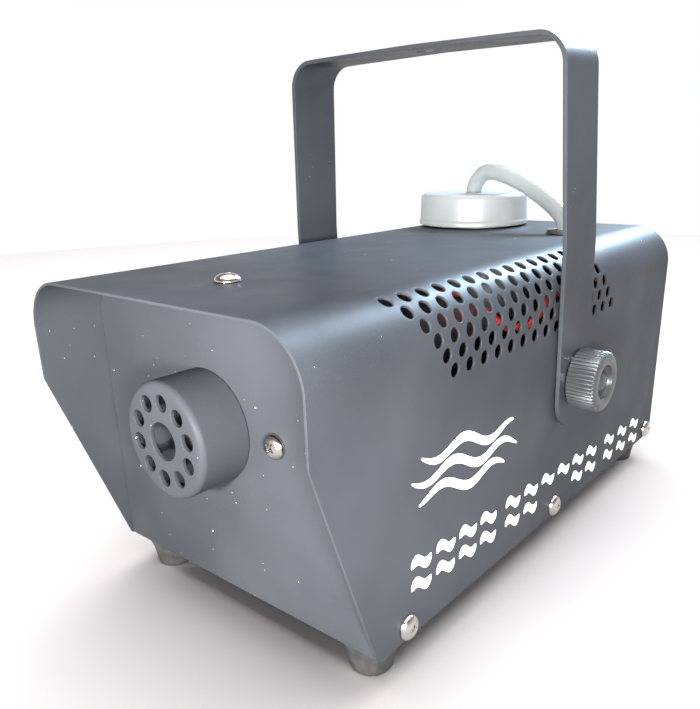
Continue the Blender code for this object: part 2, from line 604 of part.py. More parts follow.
def build_pump():
    """An oscillating pump: a coil round a pump tube in a steel yoke, with a sprung piston in the tube."""
    along = (0.0, 1.0, 0.0)
    body = [(0.0, 66.0), (2.3, 66.0), (2.3, 58.0), (7.0, 58.0), (7.0, 8.0), (2.3, 8.0), (2.3, 0.0),
            (0.0, 0.0)]
    start_y = PUMP_YS[0] - 14.0
    pump = turned("pump_body", BLACK_PLASTIC, body, (PUMP_X, start_y, PUMP_Z), along, 16)
    bore_middle = (PUMP_YS[0] + PUMP_YS[1]) / 2
    cut(pump, rod((PUMP_X, bore_middle, PUMP_Z), along, 4.9, 38.0, 16))
    cut(pump, rod((PUMP_X, PUMP_YS[1] + 11.0, PUMP_Z), along, 1.2, 28.0, 8))
    piston = (PUMP_X, bore_middle - 6.0, PUMP_Z)
    solid("pump_piston", NICKEL, rod(piston, along, 4.4, 20.0, 16))
    spring = [(4.3, 8.0), (4.3, 0.0), (3.1, 0.0), (3.1, 8.0)]
    turned("pump_spring", NICKEL, spring, (PUMP_X, bore_middle + 6.5, PUMP_Z), along, 12, ring=True)
    coil = [(16.0, 34.0), (16.0, 0.0), (7.4, 0.0), (7.4, 34.0)]
    coil_y = bore_middle - 17.0
    turned("pump_coil", COPPER_COIL, coil, (PUMP_X, coil_y, PUMP_Z), along, 20, ring=True)
    low, high = SHEET + GAP, PUMP_Z + 20.5
    yoke = solid("pump_yoke", ZINC,
                 box((PUMP_X - 17.5, PUMP_YS[0], low), (PUMP_X + 17.5, PUMP_YS[1], high)))
    cut(yoke, box((PUMP_X - 30.0, coil_y - 0.5, PUMP_Z - 16.5),
                  (PUMP_X + 30.0, coil_y + 34.5, PUMP_Z + 16.5)))
    cut(yoke, *[rod((PUMP_X, y, PUMP_Z), along, 7.4, 5.0, 16) for y in PUMP_YS])
    pipe = [(PUMP_X, start_y - GAP, PUMP_Z), (PUMP_X, 135.6, PUMP_Z),
            (32.5, 131.5, 27.6), (31.0, 130.0, 33.0),
            (26.0, 132.5, 42.0), (18.0, 137.0, 50.5), (10.0, 139.5, 55.0), (5.4, 137.5, OUTLET_Z),
            (4.5, 133.5, OUTLET_Z), (4.5, HEATER_YS[1] + GAP, OUTLET_Z)]
    tube("delivery_pipe", NICKEL, pipe, 2.0)


def build_heater():
    along = (0.0, 1.0, 0.0)
    low_y, high_y = HEATER_YS
    low_x, high_x = OUTLET_X - 22.0, OUTLET_X + 22.0
    low_z, high_z = OUTLET_Z - 13.0, OUTLET_Z + 13.0
    element = (OUTLET_X - 12.0, OUTLET_Z - 5.0)
    block = solid("heater_block", CAST_ALUMINIUM, box((low_x, low_y, low_z), (high_x, high_y, high_z)))
    block.modifiers.new("cast_edges", "BEVEL").width = 2.0 * MM
    cut(block, rod((element[0], high_y - 40.0, element[1]), along, 5.3, 84.0))
    solid("heating_element", NICKEL, rod((element[0], high_y - 36.0, element[1]), along, 5.0, 84.0))
    disc = [(0.0, 6.5), (3.0, 6.5), (3.5, 4.5), (7.5, 4.0), (8.0, 0.0), (0.0, 0.0)]
    turned("thermostat", ZINC, disc, (OUTLET_X - 4.0, low_y + 26.0, high_z + GAP), (0.0, 0.0, 1.0), 16)
    fuse_middle = (OUTLET_X + 6.0, low_y + 62.0, high_z + GAP + 2.2)
    solid("thermal_fuse", NICKEL, rod(fuse_middle, along, 2.2, 14.0, 10))
    plate_y = PANEL_Y + SHEET + GAP
    bracket = solid("heater_bracket", ZINC,
                    box((OUTLET_X - 35.0, plate_y, OUTLET_Z - 18.0),
                        (OUTLET_X + 35.0, plate_y + 1.5, OUTLET_Z + 9.0)),
                    box((low_x, plate_y + 0.5, low_z - 1.8), (high_x, high_y - 8.0, low_z - GAP)),
                    box((low_x + 4.0, high_y - 9.5, SHEET + GAP), (high_x - 4.0, high_y - 8.0, low_z - 1.0)))
    cut(bracket, rod((OUTLET_X, plate_y, OUTLET_Z), along, 7.5, 6.0, 16),
        *[rod((OUTLET_X + side * FRONT_SCREW_OFFSET, plate_y, OUTLET_Z), along, SCREW_HOLE, 6.0)
          for side, _ in SIDES])
    left, right, top = low_x - 7.0, high_x + 7.0, high_z + 11.0
    floor = SHEET + GAP
    shield_line = [(left, floor), (left, top), (right, top), (right, floor)]
    points = [(x, y, z) for x, z in shield_line for y in (low_y - 2.0, high_y - 3.0)]
    faces = [(2 * i, 2 * i + 2, 2 * i + 3, 2 * i + 1) for i in range(3)]
    sheet("heat_shield", ZINC, points, faces, 0.6)


def build_controls():
    """The control board on its insulating base, on the floor between heater and bottle."""
    low_x, low_y = -54.0, 134.0
    base_z = SHEET + GAP
    solid("board_base", BLACK_PLASTIC,
          box((low_x, low_y, base_z), (low_x + 52.0, low_y + 38.0, base_z + 5.0)))
    board_z = base_z + 5.0 + GAP
    top = board_z + 1.6
    solid("circuit_board", BOARD_GREEN, box((low_x, low_y, board_z), (low_x + 52.0, low_y + 38.0, top)))
    top += GAP
    relay = box((low_x + 6.0, low_y + 6.0, top), (low_x + 25.0, low_y + 21.0, top + 15.0))
    solid("board_relay", BLACK_PLASTIC, relay)
    can = [(0.0, 20.0), (4.6, 20.0), (5.0, 19.4), (5.0, 0.0), (0.0, 0.0)]
    turned("board_capacitor", BLACK_PLASTIC, can, (low_x + 38.0, low_y + 14.0, top), (0.0, 0.0, 1.0), 12)


def build_rear_fittings():
    back = (0.0, 1.0, 0.0)
    face = REAR_Y + GAP
    switch = solid("switch_body", BLACK_PLASTIC,
                   box((SWITCH_X - 7.5, face, SWITCH_Z - 10.5),
                       (SWITCH_X + 7.5, face + 2.0, SWITCH_Z + 10.5)),
                   box((SWITCH_X - 6.4, face - 20.0, SWITCH_Z - 9.4),
                       (SWITCH_X + 6.4, face + 1.0, SWITCH_Z + 9.4)))
    cut(switch, box((SWITCH_X - 5.0, face - 6.0, SWITCH_Z - 8.6),
                    (SWITCH_X + 5.0, face + 9.0, SWITCH_Z + 8.6)))
    build_rocker(face)
    holder = [(0.0, -16.0), (4.2, -16.0), (4.2, 2.0), (8.4, 2.0), (8.4, 0.0), (6.2, 0.0), (6.2, -22.0),
              (0.0, -22.0)]
    turned("fuse_holder", BLACK_PLASTIC, holder, (FUSE_X, face, FUSE_Z), back, 16)
    cap = [(0.0, 8.0), (5.2, 8.0), (5.8, 7.2), (5.8, 2.0 + GAP), (3.9, 2.0 + GAP), (3.9, -14.0),
           (0.0, -14.0)]
    fuse_cap = turned("fuse_cap", BLACK_PLASTIC, cap, (FUSE_X, face, FUSE_Z), back, 16)
    slot_low = (FUSE_X - 8.0, face + 6.8, FUSE_Z - 0.7)
    cut(fuse_cap, box(slot_low, (FUSE_X + 8.0, face + 12.0, FUSE_Z + 0.7)))
    socket = [(0.0, -9.0), (6.0, -9.0), (6.0, 1.8), (9.0, 1.8), (9.0, 0.0), (7.4, 0.0), (7.4, -13.0),
              (0.0, -13.0)]
    turned("remote_socket", BLACK_PLASTIC, socket, (SOCKET_X, face, SOCKET_Z), back, 20)
    lamp = [(0.0, 3.4), (2.6, 2.8), (3.8, 1.2), (4.4, 1.2), (4.4, 0.0), (3.0, 0.0), (3.0, -12.0),
            (0.0, -12.0)]
    turned("indicator_lamp", RED_PLASTIC, lamp, (LAMP_X, face, LAMP_Z), back, 12)
    reach = LENGTH + REAR_STICKOUT - face
    gland = [(5.2, reach), (6.6, reach - 2.5), (7.4, 6.5), (7.4, 4.5), (8.4, 4.5), (8.4, 0.0), (6.2, 0.0),
             (6.2, -9.0), (3.4, -9.0), (3.4, reach)]
    turned("cable_gland", BLACK_PLASTIC, gland, (GLAND_X, face, GLAND_Z), back, 16, ring=True)


def build_rocker(face):
    """The rocker lies with its upper end pressed in; its axis is across the switch, inside the body."""
    pivot = (SWITCH_X, face - 2.0, SWITCH_Z)
    outline = [(-7.2, -1.5), (7.2, -1.5), (7.6, 3.6), (0.0, 2.6), (-7.6, 3.6)]
    mesh = bpy.data.meshes.new("switch_rocker")
    points = [(x * MM, depth * MM, height * MM) for x in (-4.6, 4.6) for height, depth in outline]
    count = len(outline)
    faces = [tuple(range(count)), tuple(reversed(range(count, 2 * count)))]
    faces += [(i, (i + 1) % count, (i + 1) % count + count, i + count) for i in range(count)]
    mesh.from_pydata(points, [], faces)
    turn_faces_out(mesh)
    rocker = link(bpy.data.objects.new("switch_rocker", mesh), RED_PLASTIC)
    rocker.location = point(*pivot)
    rocker.rotation_euler = (math.radians(ROCKER_REST), 0.0, 0.0)


def build_wires():
    route = [(SWITCH_X, REAR_Y - 20.0, SWITCH_Z - 3.0), (SWITCH_X, 211.0, SWITCH_Z - 3.0),
             (SWITCH_X, 205.0, 75.0), (47.0, 190.0, 82.0), (47.0, 165.0, 84.5), (45.5, 146.0, 80.0),
             (43.0, 136.0, 71.0), (35.0, 133.5, 70.0), (20.0, 134.0, 78.0), (0.0, 136.5, 79.0),
             (-11.0, 142.5, 70.0), (-16.0, 144.0, 58.0), (OUTLET_X - 12.0, 140.0, OUTLET_Z - 5.0),
             (OUTLET_X - 12.0, HEATER_YS[1] + 6.0 + GAP, OUTLET_Z - 5.0)]
    tube("heater_wire", RED_WIRE, route, 1.6)


build_cover()
build_chassis()
build_fasteners()
build_feet()
build_outlet()
build_bracket()
build_knobs()
build_bottle()
build_intake()
build_pump()
build_heater()
build_controls()
build_rear_fittings()
build_wires()
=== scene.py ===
"""The fog machine's looks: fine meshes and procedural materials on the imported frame, floor, lights, camera.

Everything is in metres in the frame's axes: the fog comes out at -Y, +X is the side with the printed mark,
+Z is up and the feet stand on Z = 0. Places come from the CAD nodes' boxes.
"""

import math

import bmesh
import bpy
from mathutils import Matrix, Vector


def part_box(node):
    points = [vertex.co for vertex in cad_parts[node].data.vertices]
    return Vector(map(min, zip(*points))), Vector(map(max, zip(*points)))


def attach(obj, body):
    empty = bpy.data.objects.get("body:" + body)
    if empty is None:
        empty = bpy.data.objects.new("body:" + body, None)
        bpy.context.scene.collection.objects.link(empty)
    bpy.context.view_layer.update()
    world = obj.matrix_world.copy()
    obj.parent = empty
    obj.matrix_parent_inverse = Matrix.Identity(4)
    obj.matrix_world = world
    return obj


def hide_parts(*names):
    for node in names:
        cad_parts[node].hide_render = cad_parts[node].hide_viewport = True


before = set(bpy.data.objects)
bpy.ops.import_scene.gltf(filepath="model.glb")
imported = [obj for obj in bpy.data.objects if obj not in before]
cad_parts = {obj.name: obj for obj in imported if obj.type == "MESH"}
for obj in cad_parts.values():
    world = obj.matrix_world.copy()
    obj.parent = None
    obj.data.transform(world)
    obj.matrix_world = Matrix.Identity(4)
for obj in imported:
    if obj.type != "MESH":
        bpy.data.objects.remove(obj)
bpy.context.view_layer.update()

MM = 0.001

COVER_LOW, COVER_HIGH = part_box("cover")
CHASSIS_LOW, CHASSIS_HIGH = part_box("chassis")
BRACKET_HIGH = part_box("bracket")[1]
SHROUD_LOW, SHROUD_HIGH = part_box("nozzle_shroud")
CAP_LOW, CAP_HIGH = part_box("bottle_cap")

HALF_WIDTH = 60 * MM
FRONT_Y = COVER_LOW.y
REAR_Y = COVER_HIGH.y
BASE_Z = 12 * MM
TOP_Z = BASE_Z + 99.5 * MM
SHEET = 0.8 * MM
COVER_BEND = 16 * MM
KINK_Z = BASE_Z + 66.7 * MM
PANEL_Y = CHASSIS_LOW.y
PANEL_REAR_Y = CHASSIS_HIGH.y
PIVOT = Vector((0.0, FRONT_Y + 135.5 * MM, BASE_Z + 55 * MM))
STRIP_WIDTH = 24 * MM
STRIP = 1.5 * MM
BRACKET_TILT = math.radians(2.0)
MIDDLE_SCREW_Y = 130.0
SIDE_SCREW_YS = (36.4, MIDDLE_SCREW_Y, 229.0)
SIDE_SCREW_RISE = 4.3 * MM
SCREW_HOLE = 2.2 * MM
STUD_HOLE = 3.4 * MM
EDGE = 0.14 * MM
BEND_STEP = math.radians(4.5)
REAR_GAP = 0.3 * MM
DASH_LENGTH = 10.0


# ---------------------------------------------------------------- materials

class Nodes:
    """A material whose node tree is built by short calls."""

    def __init__(self, name):
        self.material = bpy.data.materials.new(name)
        self.material.use_nodes = True
        self.tree = self.material.node_tree
        self.shader = self.tree.nodes["Principled BSDF"]
        self.place = self.add("TexCoord").outputs["Object"]

    def add(self, kind, inputs=None, **settings):
        node = self.tree.nodes.new("ShaderNode" + kind)
        for key, value in settings.items():
            setattr(node, key, value)
        for key, value in (inputs or {}).items():
            self.put(node.inputs[key], value)
        return node

    def put(self, socket, value):
        if isinstance(value, bpy.types.NodeSocket):
            self.tree.links.new(value, socket)
        elif isinstance(value, tuple) and len(value) == 3 and socket.type == "RGBA":
            socket.default_value = (*value, 1.0)
        else:
            socket.default_value = value

    def noise(self, scale, detail=2.0, roughness=0.5, place=None):
        node = self.add("TexNoise", {"Vector": place or self.place, "Scale": scale, "Detail": detail,
                                     "Roughness": roughness})
        return node.outputs[0]

    def stretched(self, scale):
        return self.add("Mapping", {"Vector": self.place, "Scale": scale}).outputs[0]

    def band(self, value, low, high, to_low=0.0, to_high=1.0):
        node = self.add("MapRange", {"Value": value, "From Min": low, "From Max": high,
                                     "To Min": to_low, "To Max": to_high})
        return node.outputs[0]

    def math(self, operation, first, second):
        return self.add("Math", {0: first, 1: second}, operation=operation).outputs[0]

    def mix(self, factor, first, second):
        node = self.add("Mix", data_type="RGBA")
        for index, value in ((0, factor), (6, first), (7, second)):
            self.put(node.inputs[index], value)
        return node.outputs[2]

    def bump(self, height, strength, distance, normal=None):
        inputs = {"Height": height, "Strength": strength, "Distance": distance}
        if normal:
            inputs["Normal"] = normal
        return self.add("Bump", inputs).outputs[0]

    def shade(self, **inputs):
        for key, value in inputs.items():
            self.put(self.shader.inputs[key.replace("_", " ")], value)
        return self.material

    def specks(self, spacing, radius, share):
        """Small round specks about `spacing` apart, kept on a share of the cells: 1 inside one, 0 outside."""
        cells = self.add("TexVoronoi", {"Vector": self.place, "Scale": 1 / spacing})
        dot = self.band(cells.outputs["Distance"], radius / spacing, 0.5 * radius / spacing)
        kept = self.band(self.add("SeparateColor", {0: cells.outputs["Color"]}).outputs[0],
                         1 - share, 1 - share + 0.02)
        return self.math("MULTIPLY", dot, kept)


def powder_coat(name, colour, roughness=0.46):
    """Satin powder coat: fine orange peel, broad tone changes and a few pale dust specks."""
    n = Nodes(name)
    broad = n.noise(16.0, 3.0)
    grain = n.noise(2600.0, 2.0)
    pale = tuple(c * 1.22 + 0.004 for c in colour)
    dark = tuple(c * 0.84 for c in colour)
    tone = n.mix(n.band(broad, 0.32, 0.68), dark, pale)
    tone = n.mix(n.band(grain, 0.58, 0.78, 0.0, 0.35), tone, tuple(c * 1.7 + 0.012 for c in colour))
    dust = n.specks(8.5 * MM, 0.34 * MM, 0.6)
    fine_dust = n.specks(3.1 * MM, 0.15 * MM, 0.4)
    tone = n.mix(n.math("MAXIMUM", dust, n.math("MULTIPLY", fine_dust, 0.6)), tone, (0.8, 0.8, 0.8))
    peel = n.bump(n.noise(700.0, 3.0, 0.55), 0.16, 0.12 * MM)
    texture = n.bump(n.noise(3200.0, 2.0), 0.22, 0.03 * MM, peel)
    rough = n.band(n.noise(55.0, 4.0), 0.3, 0.7, roughness - 0.05, roughness + 0.06)
    return n.shade(Base_Color=tone, Roughness=rough, Normal=texture, Specular_IOR_Level=0.09)


def moulded_plastic(name, colour, roughness, grain=0.25):
    """Hard plastic with a fine moulded grain."""
    n = Nodes(name)
    broad = n.noise(60.0, 3.0)
    dark = tuple(c * 0.8 for c in colour)
    pale = tuple(c * 1.3 + 0.003 for c in colour)
    tone = n.mix(n.band(broad, 0.3, 0.7), dark, pale)
    texture = n.bump(n.noise(2400.0, 3.0, 0.6), grain, 0.05 * MM)
    rough = n.band(n.noise(240.0, 4.0), 0.3, 0.7, roughness - 0.07, roughness + 0.08)
    return n.shade(Base_Color=tone, Roughness=rough, Normal=texture)


def bare_metal(name, colour, roughness, stretch=(1.0, 1.0, 1.0), scratches=0.15, dull=0.0):
    """Metal with streaks drawn out along one axis and patches of tarnish."""
    n = Nodes(name)
    streaks = n.noise(420.0, 4.0, 0.65, n.stretched(stretch))
    tarnish = n.noise(170.0, 3.0, 0.6)
    tone = n.mix(n.band(tarnish, 0.35, 0.75, 0.0, 0.55 + dull), colour, tuple(c * 0.62 for c in colour))
    rough = n.band(streaks, 0.25, 0.75, roughness - 0.08, roughness + 0.14)
    texture = n.bump(streaks, scratches, 0.03 * MM)
    return n.shade(Base_Color=tone, Metallic=1.0, Roughness=rough, Normal=texture)


def milky_plastic(name, colour, depth):
    """Blown or extruded polyethylene: light goes in and comes out softened."""
    n = Nodes(name)
    cloud = n.noise(70.0, 3.0)
    tone = n.mix(n.band(cloud, 0.3, 0.7), tuple(c * 0.95 for c in colour), colour)
    texture = n.bump(n.noise(900.0, 3.0, 0.6), 0.08, 0.05 * MM)
    rough = n.band(n.noise(180.0, 3.0), 0.3, 0.7, 0.3, 0.42)
    n.shader.inputs["Subsurface Radius"].default_value = (1.0, 0.97, 0.9)
    return n.shade(Base_Color=tone, Roughness=rough, Normal=texture, Subsurface_Weight=0.75,
                   Subsurface_Scale=depth, IOR=1.5)


def rubber(name):
    """Matt black rubber with a little grey dust."""
    n = Nodes(name)
    tone = n.mix(n.band(n.noise(240.0, 4.0), 0.35, 0.7), (0.012, 0.012, 0.012), (0.035, 0.034, 0.032))
    tone = n.mix(n.specks(3.0 * MM, 0.12 * MM, 0.3), tone, (0.35, 0.34, 0.32))
    texture = n.bump(n.noise(1500.0, 3.0, 0.6), 0.3, 0.06 * MM)
    return n.shade(Base_Color=tone, Roughness=n.band(n.noise(300.0, 3.0), 0.3, 0.7, 0.5, 0.68),
                   Normal=texture)


def ink(name):
    """White screen print, a little worn and uneven."""
    n = Nodes(name)
    wear = n.band(n.noise(420.0, 4.0, 0.7), 0.42, 0.75, 0.0, 0.5)
    tone = n.mix(wear, (0.82, 0.84, 0.86), (0.6, 0.63, 0.66))
    return n.shade(Base_Color=tone, Roughness=n.band(n.noise(300.0), 0.3, 0.7, 0.5, 0.62),
                   Normal=n.bump(n.noise(2600.0), 0.2, 0.03 * MM))


def board(name):
    """A circuit board's underside: a fine grid of tracks with dots of solder."""
    n = Nodes(name)
    grid = n.add("TexBrick", {"Vector": n.place, "Scale": 130.0, "Mortar Size": 0.04,
                              "Color1": (0.012, 0.13, 0.05), "Color2": (0.02, 0.17, 0.07),
                              "Mortar": (0.05, 0.3, 0.14)}).outputs[0]
    solder = n.specks(3.2 * MM, 0.5 * MM, 0.5)
    tone = n.mix(solder, grid, (0.6, 0.6, 0.58))
    return n.shade(Base_Color=tone, Roughness=n.band(solder, 0.0, 1.0, 0.42, 0.25),
                   Normal=n.bump(solder, 0.3, 0.2 * MM))


GREY = (0.0285, 0.031, 0.0355)
COAT = powder_coat("grey_powder_coat", GREY)
# A pale copy of the coat for the sheets' cut edges, bevels and hole walls: a painted highlight where the
# edges catch the light.
COAT_EDGE_HIGHLIGHT = powder_coat("grey_powder_coat_painted_edge_highlight", (0.3, 0.31, 0.34), 0.36)
BLACK = moulded_plastic("black_plastic", (0.014, 0.014, 0.015), 0.38)
KNOB_BLACK = moulded_plastic("knob_black", (0.026, 0.027, 0.029), 0.36)
RUBBER = rubber("black_rubber")
NICKEL = bare_metal("bright_nickel", (0.56, 0.53, 0.5), 0.16)
ZINC = bare_metal("zinc_plate", (0.62, 0.64, 0.67), 0.36, (1.0, 0.2, 1.0))
# Near-black brass for the nozzle: painted shade, so that the nozzle reads as the dark inside of the shroud
# seen through its holes.
SHADE_DARK_BRASS = bare_metal("brass_darkened_as_painted_shade", (0.11, 0.09, 0.07), 0.5, dull=0.3)
BRASS = bare_metal("turned_brass", (0.72, 0.53, 0.26), 0.28, (1.0, 0.15, 1.0))
ALUMINIUM = bare_metal("cast_aluminium", (0.56, 0.57, 0.58), 0.5, scratches=0.5, dull=0.2)
MILKY = milky_plastic("milky_polyethylene", (0.215, 0.23, 0.23), 4 * MM)
MILKY_TUBE = milky_plastic("milky_tube", (0.22, 0.24, 0.24), 3 * MM)
TAPE = moulded_plastic("winding_tape", (0.5, 0.19, 0.05), 0.3)
GREEN = board("circuit_board_green")
RED = moulded_plastic("red_plastic", (0.55, 0.02, 0.015), 0.25, 0.08)
RED_WIRE = moulded_plastic("red_silicone", (0.62, 0.05, 0.05), 0.42, 0.15)
WHITE_INK = ink("white_ink")


# ---------------------------------------------------------------- mesh tools

def link(name, mesh, *materials):
    obj = bpy.data.objects.new(name, mesh)
    bpy.context.scene.collection.objects.link(obj)
    if materials:
        mesh.materials.clear()
    for material in materials:
        mesh.materials.append(material)
    return obj


def mesh_of(name, bm):
    mesh = bpy.data.meshes.new(name)
    bm.to_mesh(mesh)
    bm.free()
    return mesh


def settled(obj):
    """The object's mesh with its modifiers applied; the object itself goes."""
    bpy.context.view_layer.update()
    mesh = bpy.data.meshes.new_from_object(obj.evaluated_get(bpy.context.evaluated_depsgraph_get()))
    mesh.name = obj.name
    bpy.data.objects.remove(obj)
    return mesh


def piece(obj, body, slot, *nodes):
    """Sets the object to move with a body and stand for the CAD nodes, which it hides. The slot is not used.
    """
    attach(obj, body)
    if nodes:
        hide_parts(*nodes)


def centre_of(node):
    low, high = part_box(node)
    return (low + high) / 2


def facing(direction):
    """The turn that points the Z axis along a direction."""
    return Vector(direction).to_track_quat("Z", "Y").to_matrix().to_4x4()


def circle(x, y, radius, steps=24):
    turns = [2 * math.pi * i / steps for i in range(steps)]
    return [(x + radius * math.cos(a), y + radius * math.sin(a)) for a in turns]


def rounded(corners, steps=8):
    """A closed outline through corners (x, y, radius), each rounded with an arc."""
    ring = []
    for i, (x, y, radius) in enumerate(corners):
        here = Vector((x, y))
        before = (Vector(corners[i - 1][:2]) - here).normalized()
        after = (Vector(corners[(i + 1) % len(corners)][:2]) - here).normalized()
        half = before.angle(after) / 2
        centre = here + (before + after).normalized() * radius / math.sin(half)
        first = here + before * radius / math.tan(half) - centre
        last = here + after * radius / math.tan(half) - centre
        sweep = first.angle_signed(last) if radius else 0.0
        for step in range(steps + 1 if radius else 1):
            turn = Matrix.Rotation(-sweep * step / steps, 2)
            ring.append(tuple(centre + turn @ first))
    return ring


def flat_sheet(name, outline, holes, thickness, edge=EDGE):
    """A flat blank with its holes and rounded edges, as a bmesh from Z = -thickness to Z = 0."""
    curve = bpy.data.curves.new(name, "CURVE")
    curve.dimensions = "2D"
    curve.fill_mode = "BOTH"
    curve.extrude = thickness / 2 - edge
    curve.bevel_depth = edge
    curve.bevel_resolution = 1
    curve.offset = -edge
    for ring in (outline, *holes):
        spline = curve.splines.new("POLY")
        spline.points.add(len(ring) - 1)
        spline.use_cyclic_u = True
        for target, (x, y) in zip(spline.points, ring):
            target.co = (x, y, 0.0, 1.0)
    mesh = settled(link(name, curve))
    bm = bmesh.new()
    bm.from_mesh(mesh)
    bpy.data.meshes.remove(mesh)
    bpy.data.curves.remove(curve)
    bmesh.ops.remove_doubles(bm, verts=bm.verts, dist=0.002 * MM)
    bmesh.ops.translate(bm, verts=bm.verts, vec=(0.0, 0.0, -thickness / 2))
    return bm


class Section:
    """The outer line of a folded sheet through corners (a, b, bend radius), the outside on its left."""

    def __init__(self, corners):
        self.runs = []
        self.length = 0.0
        here = Vector(corners[0][:2])
        for before, (a, b, radius), after in zip(corners, corners[1:], [*corners[2:], None]):
            corner = Vector((a, b))
            heading = (corner - Vector(before[:2])).normalized()
            if after is None:
                self.add(here, heading, (corner - here).length)
                break
            following = (Vector(after[:2]) - corner).normalized()
            turn = heading.angle(following)
            cut = radius * math.tan(turn / 2)
            self.add(here, heading, (corner - here).length - cut)
            self.add(corner - heading * cut, heading, radius * turn, radius)
            here = corner + following * cut

    def add(self, start, heading, length, radius=None):
        self.runs.append((self.length, start, heading, length, radius))
        self.length += length

    def stations(self):
        """Distances where the blank is cut across, so that it can bend smoothly."""
        found = []
        for start, _, _, length, radius in self.runs:
            if radius:
                count = max(2, math.ceil(length / radius / BEND_STEP))
                found += [start + length * i / count for i in range(count + 1)]
        return found

    def at(self, distance, depth):
        """(place, outward normal) at a distance along the line and a depth under the outside."""
        reached = [run for run in self.runs if run[0] <= distance + 1e-9 or run is self.runs[0]]
        start, place, heading, _, radius = reached[-1]
        normal = Vector((-heading.y, heading.x))
        along = distance - start
        if not radius:
            return place + heading * along - normal * depth, normal
        centre = place - normal * radius
        angle = -along / radius
        turned = Vector((normal.x * math.cos(angle) - normal.y * math.sin(angle),
                         normal.x * math.sin(angle) + normal.y * math.cos(angle)))
        return centre + turned * (radius - depth), turned


def fold(name, bm, section, axes):
    """Bends a flat blank along its X to follow the section. `axes` are the section's two directions and the
    direction of the blank's Y. Flat faces keep exact normals, and the cut edges and edge bevels take a paler
    copy of the coat: a painted highlight along every edge."""
    for distance in section.stations():
        bmesh.ops.bisect_plane(bm, geom=[*bm.verts, *bm.edges, *bm.faces], dist=0.001 * MM,
                               plane_co=(distance, 0, 0), plane_no=(1, 0, 0))
    for face in bm.faces:
        face.smooth = True
        # Edge and bevel faces get the paler coat: a painted highlight.
        face.material_index = 0 if abs(face.normal.z) > 0.98 else 1
    blank = link(name, mesh_of(name, bm))
    weighted = blank.modifiers.new("flat_faces_first", "WEIGHTED_NORMAL")
    weighted.weight = 100
    mesh = settled(blank)
    normals = [Vector(corner.vector) for corner in mesh.corner_normals]
    a_axis, b_axis, across = (Vector(axis) for axis in axes)
    spots = [section.at(v.co.x, -v.co.z) for v in mesh.vertices]
    ys = [v.co.y for v in mesh.vertices]
    for vertex, (place, _), y in zip(mesh.vertices, spots, ys):
        vertex.co = a_axis * place.x + b_axis * place.y + across * y
    bent = []
    for loop, flat in zip(mesh.loops, normals):
        _, outward = spots[loop.vertex_index]
        out = a_axis * outward.x + b_axis * outward.y
        heading = a_axis * outward.y - b_axis * outward.x
        bent.append(heading * flat.x + across * flat.y + out * flat.z)
    mesh.normals_split_custom_set(bent)
    return link(name, mesh, COAT, COAT_EDGE_HIGHLIGHT)


def turning(name, profile, segments):
    """An object that turns (radius, height) corners about Z. A line clear of the axis is closed first."""
    mesh = bpy.data.meshes.new(name)
    last = len(profile) - 1
    edges = [(i, i + 1) for i in range(last)]
    if profile[0][0] > 0 and profile[-1][0] > 0:
        edges.append((last, 0))
    mesh.from_pydata([(r, 0.0, h) for r, h in profile], edges, [])
    obj = link(name, mesh)
    screw = obj.modifiers.new("turn", "SCREW")
    screw.steps = screw.render_steps = segments
    screw.use_merge_vertices = True
    screw.merge_threshold = 0.01 * MM
    return obj


def lathe(name, profile, segments, *materials, centre=(0, 0, 0), axis=(0, 0, 1), bevel=0.0, smooth=35.0):
    """A finished turned shape, its base at `centre` and its height along `axis`, with softened edges."""
    obj = turning(name, profile, segments)
    if bevel:
        soften(obj, bevel)
    mesh = settled(obj)
    mesh.transform(Matrix.Translation(centre) @ facing(axis))
    outward(mesh)
    mesh.shade_smooth()
    mesh.set_sharp_from_angle(angle=math.radians(smooth))
    return link(name, mesh, *materials)


def outward(mesh):
    bm = bmesh.new()
    bm.from_mesh(mesh)
    bmesh.ops.recalc_face_normals(bm, faces=bm.faces)
    bm.to_mesh(mesh)
    bm.free()


def soften(obj, width, segments=2, angle=32.0):
    bevel = obj.modifiers.new("soft_edges", "BEVEL")
    bevel.width = width
    bevel.segments = segments
    bevel.limit_method = "ANGLE"
    bevel.angle_limit = math.radians(angle)
    bevel.use_clamp_overlap = True
    bevel.harden_normals = True


def cut_with(obj, cutter, among_themselves=False):
    """Cuts a shape out of the object by a modifier. The caller settles the object, then drops the cutter."""
    cut = obj.modifiers.new("cut", "BOOLEAN")
    cut.object = cutter
    cut.solver = "EXACT"
    cut.use_self = among_themselves


# ---------------------------------------------------------------- folded sheets

def vent_holes(section):
    """Round vents on both bends: each row half a pitch further back than the row above it."""
    rows, columns, pitch, radius = 6, 15, 8 * MM, 2.15 * MM
    first = FRONT_Y + 39.4 * MM
    spacing = COVER_BEND * math.pi / 2 / 5
    lower_bend = TOP_Z - COVER_BEND - BASE_Z
    holes = []
    for row in range(rows):
        distance = lower_bend + spacing * (3.5 - row)
        for column in range(columns):
            y = first + pitch * (column + row / 2)
            for x in (distance, section.length - distance):
                holes.append(circle(x, y, radius))
    return holes


